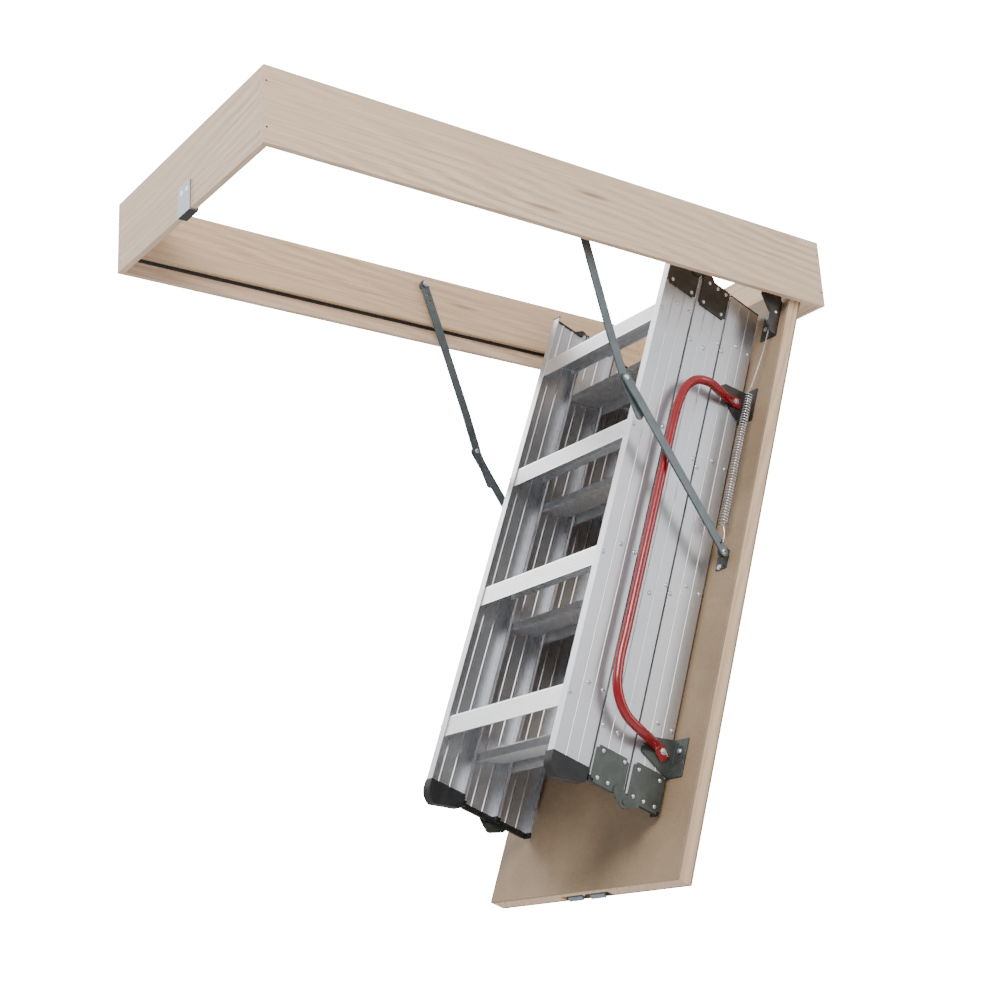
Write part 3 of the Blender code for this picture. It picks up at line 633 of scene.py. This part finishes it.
def bolt_tree():
    tree, given, out = new_tree("bolts on washers", {"Radius": 0.005, "Height": 0.0035})
    parts = []
    for sides, wide, tall in ((20, 1.35, 0.30), (6, 1.0, 1.0), (12, 0.62, 1.12)):
        disc = join_up(tree, "GeometryNodeMeshCylinder", Vertices=sides, Radius=wide,
                       Depth=2 * tall)
        parts.append(scaled(tree, disc.outputs["Mesh"], given.outputs["Radius"],
                            given.outputs["Radius"], given.outputs["Height"]))
    group = join_up(tree, "GeometryNodeJoinGeometry")
    for part in parts:
        tree.links.new(part, group.inputs[0])
    return scatter(tree, given, out, group.outputs[0])


def rib_tree():
    tree, given, out = new_tree("long ribs", {"Radius": 0.0007, "Height": 0.39})
    bead = join_up(tree, "GeometryNodeMeshCylinder", Vertices=8, Radius=1.0, Depth=1.0)
    head = scaled(tree, bead.outputs["Mesh"], given.outputs["Radius"], given.outputs["Radius"],
                  given.outputs["Height"])
    return scatter(tree, given, out, head)


RIVETS, BOLTS, RIBS = rivet_tree(), bolt_tree(), rib_tree()


def repeat(name, tree, points, radius, height, mat, slot, body):
    """One mesh of heads, at (place, facing) points, on one body."""
    mesh = bpy.data.meshes.new(name)
    mesh.from_pydata([p for p, _ in points], [], [])
    facing = mesh.attributes.new("facing", "FLOAT_VECTOR", "POINT")
    for row, (_, way) in zip(facing.data, points):
        row.vector = way
    obj = placed(name, mesh)
    heads = obj.modifiers.new("heads", "NODES")
    heads.node_group = tree
    wanted = {"Radius": radius, "Height": height, "Material": mat}
    for item in tree.interface.items_tree:
        if item.in_out == "INPUT" and item.name in wanted:
            heads[item.identifier] = wanted[item.name]
    flattened(obj)
    print(f"{name}: {len(points)} heads, {len(obj.data.polygons)} faces")
    return dressed(obj, mat, body)


# %% [markdown]
# Three rivets hold each end of every tread: one low in the front lip and two higher up towards
# the back. The middle section lies end over end when folded, so its rivets are turned too.

# %% Rivets through the stiles
REAR = {"upper": 0.0084, "middle": 0.0959, "lower": 0.1834}
DEEP, PITCH, SPAN = 0.083, 0.2935, 2.374
FIRST_TREAD = {"upper": 0.1465, "middle": 0.1465 + 4 * PITCH, "lower": 0.1425}
STILE_SKIN, STILE_RIVET = 0.202, (0.0050, 0.0028)
ON_BODY = {"upper": "hatch", "middle": "middle_section", "lower": "lower_section"}


def as_folded(section, u, n):
    """The middle section lies end over end while the ladder is folded."""
    return (SPAN - u, 2 * REAR[section] + DEEP - n) if section == "middle" else (u, n)


def tread_places(section):
    """(u, n) of the three rivets at each tread, as the section lies folded."""
    front = REAR[section] + DEEP
    for i in range(4):
        top = FIRST_TREAD[section] + i * PITCH
        for u, n in ((top + 0.0195, front - 0.004), (top - 0.0155, front - 0.040),
                     (top - 0.0155, front - 0.0765)):
            yield as_folded(section, u, n)


for section, body in ON_BODY.items():
    points = [(spot(u, sign * STILE_SKIN, n), ACROSS * sign)
              for _, sign in SIDES for u, n in tread_places(section)]
    repeat(f"{section}_stile_rivets", RIVETS, points, *STILE_RIVET, zinc, "zinc", body)

# %% [markdown]
# Five rivets hold each fold plate. They keep clear of the eye that turns round the pin.

# %% Rivets through the fold plates
PLATE_FACE, PLATE_RIVET = 0.2048, (0.0042, 0.0024)
low = [(1.1155, 0.0651), (1.1155, 0.0131), (1.168, 0.0661), (1.168, 0.0406), (1.167, 0.0141)]
high_middle = [(0.030, 0.012), (0.030, 0.036), (0.030, 0.060), (0.084, 0.014), (0.084, 0.066)]
high_lower = [(0.030, 0.038), (0.030, 0.054), (0.030, 0.070), (0.082, 0.014), (0.082, 0.068)]
plates = {"hatch": [("upper", low)],
          "middle_section": [("middle", low[:4]), ("middle", high_middle)],
          "lower_section": [("lower", high_lower)]}
for body, groups in plates.items():
    points = [(spot(u, sign * PLATE_FACE, REAR[section] + n), ACROSS * sign)
              for section, group in groups for u, n in group for _, sign in SIDES]
    repeat(f"{body}_plate_rivets", RIVETS, points, *PLATE_RIVET, zinc, "zinc", body)

# %% [markdown]
# The treads are pressed with fine ribs for grip: along the front lip, across the step and
# underneath. Each rib is a slim bead half sunk in the metal, running from stile to stile.

# %% Ribs on the treads
RIB_LENGTH, RIB_RADIUS = 0.388, 0.0007
TREAD_WALL, SLANT = 0.0025, 1.07
LIP_GAP, STEP_GAP, IN_A_ROW = 0.0037, 0.0072, 10


def rib_places(section):
    rear = REAR[section]
    face, back = rear + DEEP - 0.003, rear + 0.003
    slope = 1 / math.tan(OPEN)
    for i in range(4):
        top = FIRST_TREAD[section] + i * PITCH
        lip = [(top + 0.005 + LIP_GAP * k, face) for k in range(IN_A_ROW)]
        step = [(top - slope * (0.006 + STEP_GAP * k), face - 0.006 - STEP_GAP * k)
                for k in range(IN_A_ROW)]
        under = [(u + TREAD_WALL * SLANT, n) for u, n in step]
        for u, n in lip + step + under:
            yield as_folded(section, u, n)


for section, body in ON_BODY.items():
    points = [(spot(u, 0, n), ACROSS) for u, n in rib_places(section)]
    repeat(f"{section}_tread_ribs", RIBS, points, RIB_RADIUS, RIB_LENGTH, tread_metal,
           "aluminium", body)

# %% [markdown]
# Bolts hold the brackets to the panel and the handrail to its brackets. Those on the flanges
# face out of the panel; those on the upright leaves face sideways.

# %% Bolts
FLANGE_TOP = 0.0033
on_flange = [(1.0505, 0.2207), (0.252, 0.2207), (0.067, 0.229), (0.067, 0.247), (0.6585, 0.231)]
points = [(spot(u, sign * y, FLANGE_TOP), OUT) for u, y in on_flange for _, sign in SIDES]
repeat("bracket_bolts", BOLTS, points, 0.0042, 0.0030, zinc, "zinc", "hatch")
points = [(spot(1.0623, -0.2096, 0.0317), -ACROSS), (spot(0.2632, -0.2096, 0.0265), -ACROSS)]
repeat("handrail_bolts", BOLTS, points, 0.0050, 0.0032, zinc, "zinc", "hatch")
points = [(spot(0.040, sign * 0.264, 0.013), ACROSS * sign) for _, sign in SIDES]
repeat("spring_bracket_rivets", RIVETS, points, 0.0042, 0.0015, zinc, "zinc", "hatch")

# %% [markdown]
# The stay arms turn on rivets: one at the foot, and one through both arms at the knee. A bolt
# holds the top end to the frame.

# %% Rivets on the stay arms
ARM_OUTSIDE, KNEE_INSIDE, TOP_INSIDE = 0.2565, 0.2455, 0.2535
for side, sign in SIDES:
    knee = Vector((KNEE[0], 0, KNEE[1]))
    outer = [(knee + ACROSS * sign * ARM_OUTSIDE, ACROSS * sign)]
    outer.append((spot(0.637, sign * ARM_OUTSIDE, 0.018), ACROSS * sign))
    repeat(f"lower_arm_rivets_{side}", RIVETS, outer, 0.0058, 0.0020, zinc, "zinc",
           f"lower_arm_{side}")
    inner = [(knee + ACROSS * sign * KNEE_INSIDE, ACROSS * -sign)]
    repeat(f"knee_rivet_{side}", RIVETS, inner, 0.0055, 0.0020, zinc, "zinc", f"upper_arm_{side}")
    top = [(Vector((ARM_TOP[0], sign * TOP_INSIDE, ARM_TOP[1])), ACROSS * -sign)]
    repeat(f"arm_top_bolt_{side}", BOLTS, top, 0.0052, 0.0022, zinc, "zinc", f"upper_arm_{side}")

# %% [markdown]
# The balance springs are close coils of bright wire. A spiral curve in Geometry Nodes is swept
# with a small circle, so turns, radii, length and wire are all inputs. Hooks at both ends are
# plain swept wires, one to the bracket and one into the hole in the lower arm.

# %% Spring coils
COIL_START, COIL_END, TURNS = 0.262, 0.577, 49
TOP_RADIUS, FOOT_RADIUS, WIRE = 0.007, 0.009, 0.0015
COIL_Y = 0.2475


def coil_tree():
    sizes = {"Turns": float(TURNS), "Length": COIL_END - COIL_START, "Top radius": TOP_RADIUS,
             "Foot radius": FOOT_RADIUS, "Wire": WIRE}
    tree, given, out = new_tree("spring coil", sizes)
    spiral = join_up(tree, "GeometryNodeCurveSpiral", Resolution=20,
                     Rotations=given.outputs["Turns"], Start_Radius=given.outputs["Top radius"],
                     End_Radius=given.outputs["Foot radius"], Height=given.outputs["Length"])
    ring = join_up(tree, "GeometryNodeCurvePrimitiveCircle", Resolution=8,
                   Radius=given.outputs["Wire"])
    wire = join_up(tree, "GeometryNodeCurveToMesh", Curve=spiral.outputs[0],
                   Profile_Curve=ring.outputs[0], Fill_Caps=True)
    return end_tree(tree, given, out, wire.outputs[0])


COIL = coil_tree()


def swept(name, points, radius):
    """A round wire through the points, as a mesh."""
    curve = bpy.data.curves.new(name, "CURVE")
    curve.dimensions = "3D"
    curve.bevel_depth = radius
    curve.bevel_resolution = 3
    curve.use_fill_caps = True
    line = curve.splines.new("NURBS")
    line.points.add(len(points) - 1)
    for row, point in zip(line.points, points):
        row.co = (*point, 1)
    line.use_endpoint_u = True
    line.order_u = 3
    obj = placed(name, curve)
    graph = bpy.context.evaluated_depsgraph_get()
    mesh = bpy.data.meshes.new_from_object(obj.evaluated_get(graph))
    bpy.data.objects.remove(obj)
    return placed(name, mesh)


for side, sign in SIDES:
    start, end = spot(COIL_START, sign * COIL_Y, 0.0275), spot(COIL_END, sign * COIL_Y, 0.028)
    coil = placed(f"spring_coil_{side}", bpy.data.meshes.new(f"spring_coil_{side}"))
    winding = coil.modifiers.new("winding", "NODES")
    winding.node_group = COIL
    flattened(coil)
    turn = Vector((0, 0, 1)).rotation_difference((end - start).normalized())
    coil.data.transform(Matrix.Translation(start) @ turn.to_matrix().to_4x4())
    dressed(coil, spring_steel, "hatch", ROUND_ANGLE)
    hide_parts(f"spring_{side}")
    upper = [(0.088, 0.0185, 0.2588), (0.100, 0.0205, 0.2588), (0.150, 0.022, 0.2580),
             (0.215, 0.0255, 0.2505), (0.250, 0.0275, 0.2475), (0.262, 0.0345, 0.2475)]
    foot = [(0.577, 0.037, 0.2475), (0.583, 0.035, 0.2560), (0.600, 0.030, 0.2593),
            (0.6160, 0.0295, 0.2593), (0.6235, 0.0300, 0.2593)]
    for label, route in (("upper", upper), ("lower", foot)):
        points = [spot(u, sign * y, n) for u, n, y in route]
        hook = swept(f"spring_hook_{label}_{side}", points, WIRE)
        dressed(hook, spring_steel, "hatch", ROUND_ANGLE)
    print(f"spring_{side}: {TURNS} turns, {len(coil.data.polygons)} faces")

# %% [markdown]
# Black caps close the ends of the stiles. Each is a slim channel that hugs the stile on three
# sides and stays flush outside, where the fold plates lie. The same kind of flat outline, drawn
# out along the hatch, also makes the leaf spring between the latch tongues.

# %% End caps and the latch's leaf spring
TOP_CAP, BOTTOM_CAP = (0.0178, 0.0215), (1.1680, 1.1792)  # where each cap starts and ends, in u


def drawn(name, rings):
    """A closed solid between two matching rings of points."""
    bm = bmesh.new()
    first, last = [[bm.verts.new(p) for p in ring] for ring in rings]
    count = len(first)
    for i in range(count):
        j = (i + 1) % count
        bm.faces.new((first[i], first[j], last[j], last[i]))
    bm.faces.new(first)
    bm.faces.new(last)
    bmesh.ops.recalc_face_normals(bm, faces=bm.faces)
    return placed(name, mesh_from(bm, name))


def cap_ring(u, rear, sign):
    edge, mouth, skin, wall = 0.0006, 0.1824, 0.0032, 0.2021
    inside = wall - skin - 0.0018
    shape = [(-edge, mouth), (-edge, wall), (DEEP + edge, wall), (DEEP + edge, mouth),
             (DEEP - skin, mouth), (DEEP - skin, inside), (skin, inside), (skin, mouth)]
    return [spot(u, sign * y, rear + n) for n, y in shape]


for section, body in ON_BODY.items():
    ends = [("top", TOP_CAP)]
    if section != "lower":
        ends.append(("bottom", BOTTOM_CAP))
    for label, reach in ends:
        for side, sign in SIDES:
            rings = [cap_ring(u, REAR[section], sign) for u in reach]
            cap = drawn(f"{section}_cap_{label}_{side}", rings)
            dressed(softened(cap, 0.0003), black_cap, body)
zigzag = [(1.299, -0.0112), (1.276, -0.0006), (1.276, 0.0006), (1.299, 0.0112), (1.300, 0.0106),
          (1.2775, 0.0), (1.300, -0.0106)]
leaf = drawn("latch_leaf_spring", [[spot(u, y, n) for u, y in zigzag] for n in (-0.0275, -0.0195)])
dressed(leaf, zinc, "hatch", 20)
print("end caps on", len(ON_BODY), "sections and a leaf spring in the latch")

# %% [markdown]
# A narrow black strip runs under each long stop batten, in the gap beside the closed
# panel. It is partly a draught seal and partly painted shade: it makes the gap darker than the
# soft lamps' shadow does. It is a flat strip on the inside of the frame's side board.

# %% Draught seals and painted shade
SIDE_BOARD, SEAL_AND_SHADE_HIGH, SEAL_AND_SHADE_WIDE = 0.2876, 0.0065, 0.0030
for side, sign in SIDES:
    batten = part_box(f"stop_batten_{side}")
    x0, x1 = batten[0].x + 0.001, batten[1].x - 0.001
    high, wall = batten[0].z - 0.0003, sign * SIDE_BOARD
    ring = [(wall, high), (wall, high - SEAL_AND_SHADE_HIGH), (wall - sign * 0.0022, high - 0.0050),
            (wall - sign * SEAL_AND_SHADE_WIDE, high)]
    # Painted shade: this black strip also darkens the gap under the batten, beyond what the lamps'
    # shadow gives.
    seal_and_shade_strip = drawn(f"stop_seal_{side}", [[Vector((x, y, z)) for y, z in ring] for x in (x0, x1)])
    dressed(seal_and_shade_strip, rubber, "frame", 20)
print("two draught seals")

# %% [markdown]
# The keeper's two screws sit in their hollows with a cross recess, and a dark nail head fills
# each small hollow at the frame's corners. They stop just short of the surface round them.

# %% Sunk screws and nails
SLOT_WIDE, SLOT_LONG, SLOT_DEEP = 0.0018, 0.0062, 0.0012
NAIL_FACE = 0.2996


def disc_head(name, centre, axis, radius, depth, sides=24):
    turn = Vector((0, 0, 1)).rotation_difference(Vector(axis)).to_matrix()
    angles = [2 * math.pi * k / sides for k in range(sides)]
    rings = []
    for off in (-depth, 0.0):
        rim = [Vector((radius * math.cos(a), radius * math.sin(a), off)) for a in angles]
        rings.append([Vector(centre) + turn @ point for point in rim])
    return drawn(name, rings)


for label, y in (("near", -SCREW_Y), ("far", SCREW_Y)):
    at = (KEEPER_FACE + 0.0002, y, SCREW_Z)
    screw = disc_head(f"keeper_screw_{label}", at, (-1, 0, 0), 0.0052, 0.0011)
    for axis in ((0, 1, 0), (0, 0, 1)):
        bm = bmesh.new()
        size = [SLOT_DEEP] + [SLOT_LONG if axis[k] else SLOT_WIDE for k in (1, 2)]
        bmesh.ops.create_cube(bm, size=1.0,
                              matrix=Matrix.Translation(at) @ Matrix.Diagonal((*size, 1)))
        carve(screw, placed("bit", mesh_from(bm, "bit")))
    dressed(screw, zinc, "frame")
for side, sign in SIDES:
    for k, (x, z) in enumerate(CORNERS):
        at = (x, sign * NAIL_FACE, z)
        nail = disc_head(f"corner_nail_{side}_{k}", at, (0, sign, 0), 0.0017, 0.0007, 12)
        dressed(nail, dark_hole, "frame")
print("two screws and", 2 * len(CORNERS), "nails")

# %% [markdown]
# A plain pale floor lies below the ladder's lowest reach. The studio is a bright even sky with a
# large soft lamp over the viewer's left shoulder, one beyond the frame that lights the treads'
# front lips, and a weaker one from the right. The undersides fall darker. The camera sees the sky
# as plain white, while the pieces are lit by a dimmer gradient.

# %% Floor, light and camera
FLOOR_Z = -3.45
mesh = bpy.data.meshes.new("floor")
mesh.from_pydata([(x, y, FLOOR_Z) for x, y in ((-14, -14), (14, -14), (14, 14), (-14, 14))], [],
                 [(0, 1, 2, 3)])
floor = placed("floor", mesh)
pale, shader = finish("pale floor", (0.80, 0.80, 0.79), 0.8)
soft = add(pale, "TexNoise", Vector=add(pale, "TexCoord").outputs["Object"], Scale=2.0)
link(pale, ramp(pale, soft.outputs["Fac"], (0.3, (0.78, 0.78, 0.77)), (0.7, (0.82, 0.82, 0.81))),
     shader.inputs["Base Color"])
mesh.materials.append(pale)

world = bpy.data.worlds.new("studio")
world.use_nodes = True
sky = add(world, "TexCoord").outputs["Generated"]
height = add(world, "SeparateXYZ", Vector=sky).outputs["Z"]
level = add(world, "MapRange", Value=height, From_Min=-0.6, From_Max=0.7, To_Min=0.0, To_Max=1.0)
glow = ramp(world, level.outputs[0], (0.0, (0.16, 0.16, 0.17)), (0.45, (0.38, 0.39, 0.41)),
            (1.0, (0.95, 0.96, 0.98)))
seen = add(world, "LightPath").outputs["Is Camera Ray"]
white = add(world, "MixRGB", Fac=seen, Color1=glow, Color2=(20.0, 20.0, 20.0, 1))
link(world, white.outputs[0], world.node_tree.nodes["Background"].inputs["Color"])
bpy.context.scene.world = world


def lamp(name, place, target, size, power):
    data = bpy.data.lights.new(name, "AREA")
    data.size = size
    data.energy = power
    turn = (Vector(target) - Vector(place)).to_track_quat("-Z", "Y").to_matrix()
    placed(name, data).matrix_world = Matrix.Translation(place) @ turn.to_4x4()


lamp("key", (-3.4, -2.8, 1.9), (-0.6, 0, -0.5), 1.8, 210)
lamp("front", (-1.5, 3.4, 2.4), (-0.6, 0, -0.6), 2.6, 170)
lamp("side", (1.4, -3.2, 0.2), (-0.6, 0, -0.6), 1.4, 36)

camera_data = bpy.data.cameras.new("camera")
camera_data.lens = 58.31
CAMERA_AT = (-2.5507, -2.4471, -1.4684)
camera_data.shift_x, camera_data.shift_y = 0.0148, -0.0234
camera = placed("camera", camera_data)
right, up = Vector((0.80903, -0.58574, -0.04867)), -Vector((0.14225, 0.27548, -0.95073))
back = right.cross(up).normalized()
turn = Matrix((right, back.cross(right), back)).transposed().to_4x4()
camera.matrix_world = Matrix.Translation(CAMERA_AT) @ turn
bpy.context.scene.camera = camera
print("camera, three lamps and a floor")
